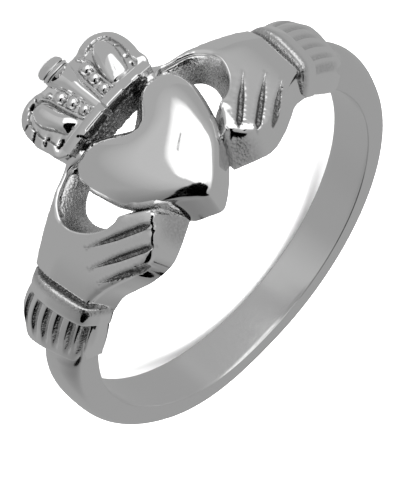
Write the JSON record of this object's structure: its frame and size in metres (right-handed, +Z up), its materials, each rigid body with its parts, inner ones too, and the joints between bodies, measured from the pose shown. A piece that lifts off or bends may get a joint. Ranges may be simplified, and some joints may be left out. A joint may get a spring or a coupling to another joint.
{
  "type": "claddagh ring",
  "caption": "Finger ring whose band ends in ruffled cuffs and hands that hold a puffed heart under a beaded crown, cast in one piece and lying on its side.",
  "frame": {"origin": "centre of the bounding box on the surface that the ring lies on", "axes": "+Z up from that surface; the head with heart and crown is towards -Y and the band's back towards +Y; the finger's axis leans about 19 degrees from Z in the YZ plane"},
  "size_m": [0.0202, 0.0212, 0.0102],
  "materials": {
    "polished_silver": "polished silver with darkened recesses"
  },
  "bodies": {
    "root": {"claddagh_ring": "polished_silver"}
  },
  "joints": []
}
